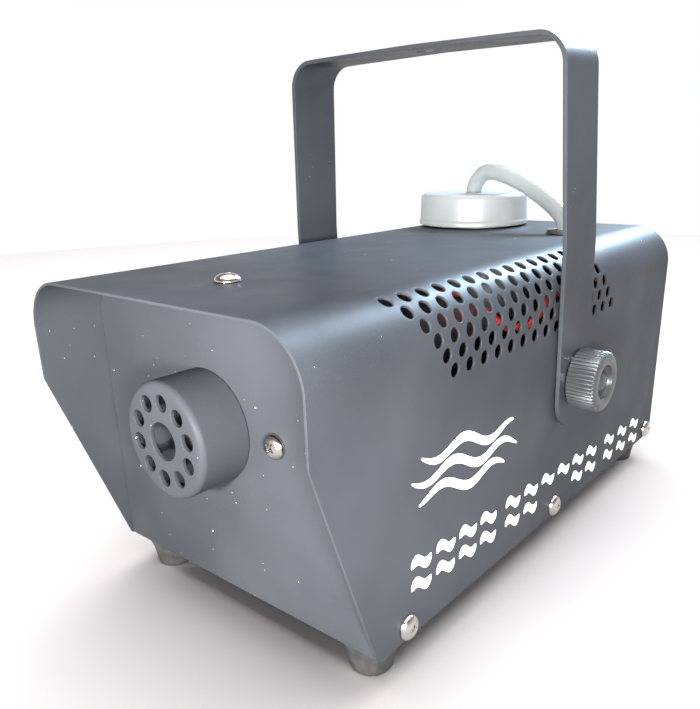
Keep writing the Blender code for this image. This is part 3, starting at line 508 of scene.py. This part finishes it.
def build_cover():
    """The top and both sides in one sheet, open at both ends. Its front edges slope back under the hood."""
    section = Section([(-HALF_WIDTH, BASE_Z, 0), (-HALF_WIDTH, TOP_Z, COVER_BEND),
                       (HALF_WIDTH, TOP_Z, COVER_BEND), (HALF_WIDTH, BASE_Z, 0)])
    length = section.length
    kink = KINK_Z - BASE_Z
    outline = rounded([(0, PANEL_Y, 0.8 * MM), (kink, FRONT_Y, 7 * MM), (length - kink, FRONT_Y, 7 * MM),
                       (length, PANEL_Y, 0.8 * MM), (length, REAR_Y, 1.2 * MM), (0, REAR_Y, 1.2 * MM)])
    holes = vent_holes(section)
    screw_xs = SIDE_SCREW_RISE, length - SIDE_SCREW_RISE
    for y in SIDE_SCREW_YS:
        holes += [circle(x, FRONT_Y + y * MM, SCREW_HOLE) for x in screw_xs]
    holes += [circle(x, PIVOT.y, STUD_HOLE) for x in (PIVOT.z - BASE_Z, length - PIVOT.z + BASE_Z)]
    middle = length / 2
    holes.append(circle(middle, FRONT_Y + 30.5 * MM, SCREW_HOLE))
    grommet = centre_of("tube_grommet")
    holes.append(circle(middle + grommet.x, grommet.y, 6.2 * MM, 32))
    cap = centre_of("bottle_cap")
    holes.append(circle(middle + cap.x, cap.y, 20.5 * MM, 64))
    cover = fold("folded_cover", flat_sheet("folded_cover", outline, holes, SHEET), section,
                 ((1, 0, 0), (0, 0, 1), (0, 1, 0)))
    piece(cover, "machine", "grey_coat", "cover")


def build_chassis():
    """One blank: the rear panel, the floor, the front panel and the tab under the hood; two side flanges."""
    half = CHASSIS_HIGH.x
    top = CHASSIS_HIGH.z
    bend = 1.2 * MM
    corner = 14.7 * MM
    tab, tab_depth = 43.4 * MM, 14 * MM
    section = Section([(PANEL_REAR_Y, top, 0), (PANEL_REAR_Y, BASE_Z, bend), (PANEL_Y, BASE_Z, bend),
                       (PANEL_Y, top, bend), (PANEL_Y + tab_depth, top, 0)])
    folded_edge = section.length - tab_depth
    panels = {(round(heading.x), round(heading.y)): (start, place)
              for start, place, heading, _, radius in section.runs if radius is None}
    tab_root = folded_edge + 0.3 * MM
    outline = rounded([(0, -half, corner), (folded_edge, -half, corner), (tab_root, -tab, 0.2 * MM),
                       (section.length, -tab, 3 * MM), (section.length, tab, 3 * MM),
                       (tab_root, tab, 0.2 * MM), (folded_edge, half, corner), (0, half, corner)])

    def on_rear(z):
        return top - z

    def on_floor(y):
        start, place = panels[-1, 0]
        return start + place.x - y

    def on_front(z):
        start, place = panels[0, 1]
        return start + z - place.y

    holes = []
    fittings = {"fuse_holder": 6.6, "remote_socket": 7.8, "indicator_lamp": 3.4, "cable_gland": 6.6}
    for node, radius in fittings.items():
        place = centre_of(node)
        holes.append(circle(on_rear(place.z), -place.x, radius * MM, 32))
    switch = centre_of("switch_body")
    holes.append([(on_rear(switch.z) + a * 9.8 * MM, -switch.x + b * 6.8 * MM)
                  for a, b in ((-1, -1), (1, -1), (1, 1), (-1, 1))])
    foot_ys, foot_x = (33.5, 226.0), 48.5 * MM
    for y in foot_ys:
        holes += [circle(on_floor(FRONT_Y + y * MM), x, SCREW_HOLE) for x in (-foot_x, foot_x)]
    outlet = centre_of("nozzle_shroud")
    holes.append(circle(on_front(outlet.z), -outlet.x, 7.5 * MM, 32))
    for name in ("front_screw_left", "front_screw_right"):
        place = centre_of(name)
        holes.append(circle(on_front(place.z), -place.x, SCREW_HOLE))
    start, place = panels[1, 0]
    holes.append(circle(start + centre_of("top_screw").y - place.x, 0.0, SCREW_HOLE))
    chassis = fold("folded_chassis", flat_sheet("folded_chassis", outline, holes, SHEET), section,
                   ((0, 1, 0), (0, 0, 1), (-1, 0, 0)))
    piece(chassis, "machine", "grey_coat", "chassis")
    front, rear, height = PANEL_Y + 4 * MM, PANEL_REAR_Y - 3 * MM, 11 * MM
    for side, side_name in ((-1, "left"), (1, "right")):
        ring = rounded([(front, 0, 0), (front, height, 3 * MM), (rear, height, 3 * MM), (rear, 0, 0)])
        screws = [circle(FRONT_Y + y * MM, SIDE_SCREW_RISE, SCREW_HOLE) for y in SIDE_SCREW_YS]
        line = Section([(0, 0, 0), (1, 0, 0)])
        bm = flat_sheet("flange", ring, screws, SHEET)
        flange = fold(f"chassis_flange_{side_name}", bm, line, ((0, 1, 0), (side, 0, 0), (0, 0, 1)))
        flange.location = (side * half, 0.0, BASE_Z + 0.1 * MM)
        piece(flange, "machine", "grey_coat")


def build_bracket():
    """The strip is bent upright and then leans forward about the pivot, as the CAD one does."""
    foot_x, foot_z = BRACKET_HIGH.x, PIVOT.z - 18.5 * MM
    shoulder_x, shoulder_z = foot_x - 3.5 * MM, BASE_Z + 168.9 * MM
    lean_z = BASE_Z + 103 * MM
    half = [(-foot_x, foot_z, 0), (-foot_x, lean_z, 45 * MM), (-shoulder_x, shoulder_z, 10.5 * MM)]
    peak = (0.0, BASE_Z + 170.4 * MM, 1700 * MM)
    section = Section([*half, peak, *[(-a, b, r) for a, b, r in reversed(half)]])
    length, reach = section.length, STRIP_WIDTH / 2
    outline = rounded([(0, PIVOT.y - reach, reach * 0.999), (length, PIVOT.y - reach, reach * 0.999),
                       (length, PIVOT.y + reach, reach * 0.999), (0, PIVOT.y + reach, reach * 0.999)], 16)
    pivot = PIVOT.z - foot_z
    holes = [circle(x, PIVOT.y, STUD_HOLE) for x in (pivot, length - pivot)]
    hanging_hole = 4.5 * MM
    holes.append(circle(length / 2, PIVOT.y, hanging_hole, 48))
    bm = flat_sheet("bent_bracket", outline, holes, STRIP, 0.22 * MM)
    bracket = fold("bent_bracket", bm, section, ((1, 0, 0), (0, 0, 1), (0, 1, 0)))
    lean = Matrix.Rotation(BRACKET_TILT, 4, "X")
    bracket.matrix_world = Matrix.Translation(PIVOT) @ lean @ Matrix.Translation(-PIVOT)
    piece(bracket, "bracket", "grey_coat", "bracket")


# ---------------------------------------------------------------- outlet, screws, feet, knobs

def build_shroud():
    """A cup with a rounded rim, a large hole in the middle of its face and ten smaller ones round that."""
    centre = centre_of("nozzle_shroud")
    radius = (SHROUD_HIGH.x - SHROUD_LOW.x) / 2
    depth = SHROUD_HIGH.y - SHROUD_LOW.y
    wall, fillet = 1.5 * MM, 2.1 * MM
    arc = [(radius - fillet + fillet * math.sin(a), depth - fillet + fillet * math.cos(a))
           for a in (math.pi / 2 * i / 7 for i in range(8))]
    inner = [(radius - wall, 0.0), (radius - wall, depth - fillet), (radius - fillet, depth - wall),
             (0.0, depth - wall)]
    profile = [(0.0, depth), *arc, (radius, 0.0), *inner]
    mesh = settled(turning("perforated_shroud", profile, 96))
    bm = bmesh.new()
    bm.from_mesh(mesh)
    bmesh.ops.recalc_face_normals(bm, faces=bm.faces)
    bmesh.ops.dissolve_limit(bm, angle_limit=math.radians(0.5), verts=bm.verts, edges=bm.edges)
    bm.to_mesh(mesh)
    bm.free()
    cup = link("perforated_shroud", mesh)
    drills = bmesh.new()
    fog_hole, ring_radius, ring_hole = 5.9, 12, 2.6
    angles = [math.radians(120 + 36 * i) for i in range(10)]
    spots = [(ring_radius * math.cos(a), ring_radius * math.sin(a), ring_hole) for a in angles]
    for x, y, size in [(0.0, 0.0, fog_hole), *spots]:
        matrix = Matrix.Translation((x * MM, y * MM, depth))
        bmesh.ops.create_cone(drills, cap_ends=True, segments=32, radius1=size * MM, radius2=size * MM,
                              depth=6 * MM, matrix=matrix)
    drill = link("drills", mesh_of("drills", drills))
    cut_with(cup, drill)
    soften(cup, 0.3 * MM, 2, 50.0)
    mesh = settled(cup)
    bpy.data.objects.remove(drill)
    base = Vector((centre.x, SHROUD_HIGH.y, centre.z))
    mesh.transform(Matrix.Translation(base) @ Matrix.Rotation(math.pi / 2, 4, "X"))
    mesh.shade_smooth()
    mesh.set_sharp_from_angle(angle=math.radians(60))
    shroud = link("perforated_shroud", mesh, COAT)
    shroud.modifiers.new("flat_faces_first", "WEIGHTED_NORMAL").keep_sharp = True
    piece(shroud, "machine", "grey_coat", "nozzle_shroud")


def screw_mesh():
    """A pan head with a cross recess, its seat at Z = 0."""
    profile = [(0.0, 2.45), (1.2, 2.4), (2.3, 2.15), (3.2, 1.65), (3.75, 1.05), (3.98, 0.45), (3.98, 0.12),
               (3.85, 0.0), (1.7, 0.0), (1.7, -5.0), (0.0, -5.0)]
    head = lathe("screw_head", [(r * MM, h * MM) for r, h in profile], 40)
    cross = bmesh.new()
    for turn in (0.0, math.pi / 2):
        matrix = Matrix.Rotation(turn, 4, "Z") @ Matrix.Translation((0, 0, 2.2 * MM))
        blade = Matrix.Diagonal((4.3 * MM, 0.85 * MM, 2.8 * MM, 1))
        made = bmesh.ops.create_cube(cross, size=1.0, matrix=matrix @ blade)
        for vertex in made["verts"]:
            if vertex.co.z < 2.2 * MM:
                vertex.co.x *= 0.45
                vertex.co.y *= 0.45
    cutter = link("cross", mesh_of("cross", cross))
    cut_with(head, cutter, among_themselves=True)
    soften(head, 0.1 * MM, 2, 40.0)
    mesh = settled(head)
    bpy.data.objects.remove(cutter)
    mesh.shade_smooth()
    mesh.set_sharp_from_angle(angle=math.radians(45))
    mesh.materials.clear()
    mesh.materials.append(NICKEL)
    return mesh


def build_screws():
    """One shared screw at each place, each stopped at its own angle."""
    mesh = screw_mesh()
    gap, head = 0.05 * MM, 2.4 * MM
    for number, node in enumerate(sorted(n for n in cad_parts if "screw" in n)):
        low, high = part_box(node)
        middle = (low + high) / 2
        if node.startswith("cover_screw"):
            side = 1 if middle.x > 0 else -1
            base, out = (side * (HALF_WIDTH + gap), middle.y, middle.z), (side, 0, 0)
        elif node.startswith("front_screw"):
            base, out = (middle.x, PANEL_Y - gap, middle.z), (0, -1, 0)
        elif node.startswith("top_screw"):
            base, out = (middle.x, middle.y, TOP_Z + gap), (0, 0, 1)
        else:
            base, out = (middle.x, middle.y, low.z + head), (0, 0, -1)
        screw = link("driven_" + node, mesh)
        turn = Matrix.Rotation(0.5 + 1.9 * number, 4, "Z")
        screw.matrix_world = Matrix.Translation(base) @ facing(out) @ turn
        piece(screw, "machine", "nickel", node)


def build_feet():
    """Tapered feet, hollow underneath so that each one's screw head sits clear of the floor."""
    recess = 5.2
    foot = [(2.3, -0.2), (8.7, -0.2), (8.9, -0.6), (8.85, -1.6), (8.5, -3.0), (7.95, -4.6), (7.35, -7.0),
            (6.95, -9.6), (6.75, -11.2), (6.4, -11.8), (5.9, -12.0), (5.0, -12.0), (4.7, -11.7),
            (4.6, -12.0 + recess), (2.3, -12.0 + recess)]
    for node in sorted(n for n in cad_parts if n.startswith("foot_") and "screw" not in n):
        middle = centre_of(node)
        obj = lathe("moulded_" + node, [(r * MM, h * MM) for r, h in foot], 56, RUBBER,
                    centre=(middle.x, middle.y, BASE_Z), smooth=50.0)
        piece(obj, "machine", "black_rubber", node)


def knob_mesh():
    """A fluted knob: a ring of ribs round a recessed face with a domed boss, its inner face at Z = 0."""
    ribs, steps = 44, 8
    outer, root = 10.9, 10.35
    rings = [(0.0, 0.0, 0), (3.3, 0.0, 0), (9.4, 0.0, 0), (outer - 0.35, 0.0, 0.3), (outer, 0.45, 1),
             (outer, 9.2, 1), (outer - 0.25, 9.75, 0.8), (outer - 0.8, 10.25, 0.2),
             (outer - 1.4, 10.4, 0), (6.7, 10.4, 0), (6.3, 10.2, 0), (6.0, 8.7, 0), (5.7, 8.3, 0),
             (4.1, 8.2, 0), (3.9, 8.35, 0), (3.5, 8.9, 0), (2.7, 9.5, 0), (1.6, 9.85, 0), (0.0, 10.0, 0)]
    bm = bmesh.new()
    count = ribs * steps
    loops = []
    for radius, height, share in rings:
        if radius == 0:
            loops.append([bm.verts.new((0, 0, height * MM))])
            continue
        ring = []
        for i in range(count):
            wave = (0.5 + 0.5 * math.cos(2 * math.pi * (i % steps) / steps)) ** 0.7
            deep = (outer - root) * (1 - wave) * share
            angle, reach = 2 * math.pi * i / count, (radius - deep) * MM
            ring.append(bm.verts.new((reach * math.cos(angle), reach * math.sin(angle), height * MM)))
        loops.append(ring)
    for lower, upper in zip(loops, loops[1:]):
        for i in range(count):
            j = (i + 1) % count
            if len(lower) == 1:
                bm.faces.new((lower[0], upper[j], upper[i]))
            elif len(upper) == 1:
                bm.faces.new((lower[i], lower[j], upper[0]))
            else:
                bm.faces.new((lower[i], lower[j], upper[j], upper[i]))
    bmesh.ops.recalc_face_normals(bm, faces=bm.faces)
    mesh = mesh_of("fluted_knob", bm)
    mesh.shade_smooth()
    mesh.set_sharp_from_angle(angle=math.radians(50))
    mesh.materials.append(KNOB_BLACK)
    return mesh


def build_knobs():
    mesh = knob_mesh()
    for side, side_name in ((-1, "left"), (1, "right")):
        low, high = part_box(f"knob_{side_name}")
        inner = low.x if side > 0 else high.x
        knob = link(f"fluted_knob_{side_name}", mesh)
        knob.matrix_world = Matrix.Translation((inner, PIVOT.y, PIVOT.z)) @ facing((side, 0, 0))
        piece(knob, f"{side_name}_knob", "black_plastic", f"knob_{side_name}")


# ---------------------------------------------------------------- bottle cap and hose

def build_cap():
    """The bottle's screw cap, its skirt belled out at the foot, with a hole for the hose."""
    radius = (CAP_HIGH.x - CAP_LOW.x) / 2 / MM
    height = (CAP_HIGH.z - CAP_LOW.z) / MM
    middle = centre_of("bottle_cap")
    fillet = 2.2
    shoulder = [(radius - 0.9 - fillet + fillet * math.sin(a), height - fillet + fillet * math.cos(a))
                for a in (math.pi / 2 * i / 6 for i in range(7))]
    hose_hole, crown = 3.9, 2.4
    profile = [(hose_hole, height), *shoulder, (radius - 0.5, 3.0), (radius - 0.35, 2.2),
               (radius - 0.05, 1.9), (radius, 1.4), (radius, 0.3), (radius - 0.3, 0.0), (radius - 2.0, 0.0),
               (radius - 2.4, height - crown), (21.0, height - crown), (20.9, 1.0), (19.6, 1.0),
               (19.6, height - crown), (hose_hole, height - crown)]
    cap = lathe("moulded_cap", [(r * MM, h * MM) for r, h in profile], 96, MILKY,
                centre=(middle.x, middle.y, CAP_LOW.z), smooth=40.0)
    piece(cap, "cap", "milky_plastic", "bottle_cap")


def smooth_route(places, spacing):
    """Points about `spacing` apart on a Catmull-Rom curve through the given places."""
    ends = [places[0] * 2 - places[1], *places, places[-1] * 2 - places[-2]]
    route = [places[0]]
    for a, b, c, d in zip(ends, ends[1:], ends[2:], ends[3:]):
        pieces = max(1, round((c - b).length / spacing))
        for i in range(1, pieces + 1):
            t = i / pieces
            route.append(0.5 * (2 * b + (c - a) * t + (2 * a - 5 * b + 4 * c - d) * t**2
                                + (3 * b - a - 3 * c + d) * t**3))
    return route


def build_hose():
    """The intake hose, along the CAD tube's own route."""
    x, y = centre_of("bottle_cap").xy / MM
    y -= FRONT_Y / MM
    route = [(x, y, 17.9), (x, y, 45.0), (x, y, 75.0), (x, y, 100.0), (x, y, 114.5),
             (-23.6, 205.9, 119.6), (-20.6, 205.0, 122.6), (-15.9, 203.6, 124.2), (-9.5, 201.7, 123.8),
             (-1.5, 199.3, 121.9), (7.5, 196.7, 118.6), (16.5, 194.1, 114.3), (24.3, 191.9, 109.6),
             (29.3, 190.5, 105.0), (31.0, 190.0, 99.4), (31.3, 190.3, 93.0),
             (31.5, 195.0, 82.0), (31.5, 204.0, 72.0), (31.5, 213.5, 62.0), (31.5, 219.5, 51.0),
             (31.8, 221.5, 40.0), (32.5, 218.5, 30.5), (33.0, 212.0, 26.0), (33.0, 204.3, 26.0)]
    places = [Vector((a * MM, FRONT_Y + b * MM, BASE_Z + c * MM)) for a, b, c in route]
    curve = bpy.data.curves.new("clear_hose", "CURVE")
    curve.dimensions = "3D"
    curve.bevel_depth = 3.6 * MM
    curve.bevel_resolution = 8
    curve.use_fill_caps = True
    spline = curve.splines.new("POLY")
    smooth = smooth_route(places, 3 * MM)
    spline.points.add(len(smooth) - 1)
    for target, place in zip(spline.points, smooth):
        target.co = (*place, 1.0)
    mesh = settled(link("clear_hose", curve))
    mesh.shade_smooth()
    hose = link("clear_hose", mesh, MILKY_TUBE)
    piece(hose, "machine", "milky_plastic", "intake_tube")


# ---------------------------------------------------------------- rear fittings

def rear_piece(node, profile, material, slot, bevel=0.2):
    """A turned fitting on the rear panel: (radius, reach behind the panel) corners in millimetres."""
    middle = centre_of(node)
    obj = lathe("turned_" + node, [(r * MM, h * MM) for r, h in profile], 64, material,
                centre=(middle.x, PANEL_REAR_Y + REAR_GAP, middle.z), axis=(0, 1, 0), bevel=bevel * MM)
    piece(obj, "machine", slot, node)


def build_rear_fittings():
    rear_piece("fuse_holder", [(4.2, -12.0), (4.2, 2.0), (8.0, 2.0), (8.4, 1.6), (8.4, 0.0), (6.2, 0.0),
                               (6.2, -22.0), (4.2, -22.0)], BLACK, "black_plastic")
    rear_piece("remote_socket", [(6.0, -9.0), (6.0, 1.4), (6.4, 1.8), (8.6, 1.8), (9.0, 1.4), (9.0, 0.0),
                                 (7.4, 0.0), (7.4, -13.0), (0.0, -13.0), (0.0, -9.0)], BLACK, "black_plastic")
    rear_piece("indicator_lamp", [(0.0, 3.4), (1.2, 3.3), (2.2, 2.8), (2.8, 2.0), (3.0, 1.2), (4.1, 1.2),
                                  (4.4, 0.9), (4.4, 0.0), (3.0, 0.0), (3.0, -12.0), (0.0, -12.0)],
               RED, "red_plastic", bevel=0.1)
    reach = (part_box("cable_gland")[1].y - PANEL_REAR_Y) / MM - REAR_GAP / MM
    ribs = []
    for i in range(5):
        start = reach - 2.2 - 1.9 * i
        radius = 6.1 + 0.2 * i
        groove = radius - 0.5
        ribs += [(radius, start), (groove, start - 0.5), (groove, start - 1.2), (radius + 0.2, start - 1.7)]
    rear_piece("cable_gland", [(5.2, reach), (5.8, reach - 0.6), *ribs, (7.4, 4.5), (8.4, 4.5), (8.4, 0.0),
                               (6.2, 0.0), (6.2, -9.0), (3.4, -9.0), (3.4, reach)], BLACK, "black_plastic")


# ---------------------------------------------------------------- white print on the side

def ribbon(middle, half, start, end):
    """A closed outline round a line z = middle(y), as wide as 2 * half(share), between two ys."""
    spacing = 0.9
    steps = max(8, round((end - start) / spacing))
    shares = [i / steps for i in range(steps + 1)]
    top = [(start + (end - start) * t, middle(start + (end - start) * t) + half(t)) for t in shares]
    low = [(start + (end - start) * t, middle(start + (end - start) * t) - half(t)) for t in reversed(shares)]
    return [(FRONT_Y + y * MM, BASE_Z + z * MM) for y, z in top + low]


def wisp(row, height, start, end):
    """A long wavy ribbon with pointed ends, falling a little towards the rear."""

    def middle(y):
        return height - 0.115 * (y - 60.0) + 2.1 * math.sin((y + 5.5 * row) / 4.6)

    def half(share):
        return 0.25 + 1.35 * math.sin(math.pi * share) ** 0.55

    return ribbon(middle, half, start, end)


def dash(start, rise):
    """A short wave with blunt ends, above or below the middle of the band."""

    def middle(y):
        return 19.3 - 0.062 * (y - 38.0) + rise + 1.3 * math.sin((y - start) * math.pi / 5.0)

    def half(share):
        return 1.75 * min(1.0, 5.0 * min(share, 1 - share) + 0.45)

    return ribbon(middle, half, start, start + DASH_LENGTH)


def build_side_print():
    """Plain wisps over two rows of wavy dashes on the right side; the lower row spares the middle screw."""
    ink_depth, screw_room = 0.05 * MM, 11.0
    shapes = [wisp(0, 52.6, 43.0, 95.0), wisp(1, 46.6, 38.7, 98.0), wisp(2, 40.4, 42.0, 90.0)]
    for first, step, count in ((38.3, 12.6, 4), (92.5, 13.4, 6), (178.5, 15.0, 3)):
        for start in [first + step * i for i in range(count)]:
            near_screw = abs(start + DASH_LENGTH / 2 - MIDDLE_SCREW_Y) < screw_room
            shapes += [dash(start, rise) for rise in (-3.6, 3.6) if rise > 0 or not near_screw]
    curve = bpy.data.curves.new("side_print", "CURVE")
    curve.dimensions = "2D"
    curve.fill_mode = "BOTH"
    curve.extrude = ink_depth / 2
    for ring in shapes:
        spline = curve.splines.new("POLY")
        spline.points.add(len(ring) - 1)
        spline.use_cyclic_u = True
        for target, (y, z) in zip(spline.points, ring):
            target.co = (y, z, 0.0, 1.0)
    mesh = settled(link("side_print", curve))
    upright = Matrix(((0, 0, 1, HALF_WIDTH + 0.6 * ink_depth), (1, 0, 0, 0), (0, 1, 0, 0), (0, 0, 0, 1)))
    mesh.transform(upright)
    piece(link("side_print", mesh, WHITE_INK), "machine", "grey_coat")


# ---------------------------------------------------------------- CAD nodes that stay

def finish_cad_nodes():
    """Materials for the CAD shapes that no finer piece stands for."""
    finishes = {
        ZINC: ("knob_stud_left", "knob_stud_right", "knob_washer_left", "knob_washer_right", "weld_nut_left",
               "weld_nut_right", "bottle_tray", "pump_yoke", "thermostat", "heater_bracket", "heat_shield"),
        NICKEL: ("pump_piston", "pump_spring", "delivery_pipe", "heating_element", "thermal_fuse"),
        SHADE_DARK_BRASS: ("nozzle",),
        BRASS: ("intake_filter",),
        ALUMINIUM: ("heater_block",),
        MILKY: ("bottle",),
        RUBBER: ("tube_grommet",),
        BLACK: ("pump_body", "board_base", "board_relay", "board_capacitor", "switch_body", "fuse_cap"),
        TAPE: ("pump_coil",),
        GREEN: ("circuit_board",),
        RED: ("switch_rocker",),
        RED_WIRE: ("heater_wire",),
    }
    for material, nodes in finishes.items():
        for node in nodes:
            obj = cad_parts[node]
            obj.data.materials.clear()
            obj.data.materials.append(material)


# ---------------------------------------------------------------- stage, lights, camera

def build_stage():
    """A round pale floor; past its edge the studio is as white as it is."""
    mesh = bpy.data.meshes.new("floor")
    rim = circle(0.0, 0.0, 1.1, 64)
    mesh.from_pydata([(x, y, 0.0) for x, y in rim], [], [tuple(range(len(rim)))])
    n = Nodes("pale_floor")
    tone = n.mix(n.band(n.noise(3.0, 3.0), 0.3, 0.7), (0.9, 0.91, 0.92), (0.93, 0.93, 0.93))
    floor = link("floor", mesh, n.shade(Base_Color=tone, Roughness=0.7))
    return floor


def softbox(name, place, target, size, power, colour):
    """A square area light at a place, facing a target."""
    data = bpy.data.lights.new(name, "AREA")
    data.energy = power
    data.color = colour
    data.size = size
    light = bpy.data.objects.new(name, data)
    bpy.context.scene.collection.objects.link(light)
    light.location = place
    light.rotation_euler = (Vector(target) - Vector(place)).to_track_quat("-Z", "Y").to_euler()
    return light


def spare_floor(floor, *lights):
    """Near lights light the object only, so that the pale floor doesn't throw their light on its sides."""
    spared = bpy.data.collections.new("spared_by_near_lights")
    spared.objects.link(floor)
    spared.collection_objects[0].light_linking.link_state = "EXCLUDE"
    for light in lights:
        light.light_linking.receiver_collection = spared


def build_world():
    """White all round up to a little over the horizon, then a dim, slightly warm ceiling."""
    world = bpy.data.worlds.new("studio")
    bpy.context.scene.world = world
    world.use_nodes = True
    tree = world.node_tree
    direction = tree.nodes.new("ShaderNodeTexCoord").outputs["Generated"]
    height = tree.nodes.new("ShaderNodeSeparateXYZ")
    tree.links.new(direction, height.inputs[0])
    ramp = tree.nodes.new("ShaderNodeValToRGB")
    tree.links.new(height.outputs[2], ramp.inputs[0])
    white, dim = ramp.color_ramp.elements
    white.position, white.color = 0.17, (1.0, 1.0, 1.0, 1.0)
    dim.position, dim.color = 0.45, (0.26, 0.21, 0.225, 1.0)
    background = tree.nodes["Background"]
    tree.links.new(ramp.outputs[0], background.inputs[0])
    background.inputs[1].default_value = 1.0


def build_lights(floor):
    """A large light overhead, a small flash at the camera's left, a soft key at its right, both so low that
    they don't glare on the cover's top, and a cool glow from behind for the bright band along the bend."""
    build_world()
    softbox("overhead", (0.0, 0.1, 1.5), (0.0, 0.0, 0.0), 2.0, 40.0, (1.0, 0.99, 0.98))
    flash = softbox("flash", (0.085, -0.33, 0.125), (0.0, -0.1, 0.07), 0.02, 2.9, (1.0, 0.99, 0.98))
    key = softbox("key", (0.22, -0.24, 0.115), (0.04, -0.08, 0.08), 0.05, 2.6, (0.98, 0.99, 1.0))
    glow = softbox("bend_glow", (0.03, 0.9, 0.75), (0.03, 0.08, 0.1), 0.35, 52.0, (0.6, 0.79, 1.0))
    spare_floor(floor, flash, key, glow)


def build_camera():
    """A near, slightly rolled camera at the front right, a little above the outlet."""
    azimuth, elevation, roll = (math.radians(a) for a in (39.95, 19.01, -1.36))
    flat = math.cos(elevation)
    back = Vector((math.sin(azimuth) * flat, -math.cos(azimuth) * flat, math.sin(elevation)))
    level = Vector((math.cos(azimuth), math.sin(azimuth), 0.0))
    upright = back.cross(level)
    right = level * math.cos(roll) + upright * math.sin(roll)
    up = upright * math.cos(roll) - level * math.sin(roll)
    data = bpy.data.cameras.new("camera")
    data.sensor_width = 36.0
    data.lens = 35.98
    data.shift_x = -0.0264
    data.shift_y = 0.0598
    data.clip_start = 0.01
    camera = bpy.data.objects.new("camera", data)
    bpy.context.scene.collection.objects.link(camera)
    turn = Matrix((right, up, back)).transposed().to_4x4()
    camera.matrix_world = Matrix.Translation((0.16296, -0.22603, 0.14594)) @ turn
    bpy.context.scene.camera = camera


build_camera()
build_cover()
build_chassis()
build_bracket()
build_shroud()
build_screws()
build_feet()
build_knobs()
build_cap()
build_hose()
build_side_print()
build_rear_fittings()
finish_cad_nodes()
build_lights(build_stage())
bpy.context.scene.view_settings.view_transform = "Standard"
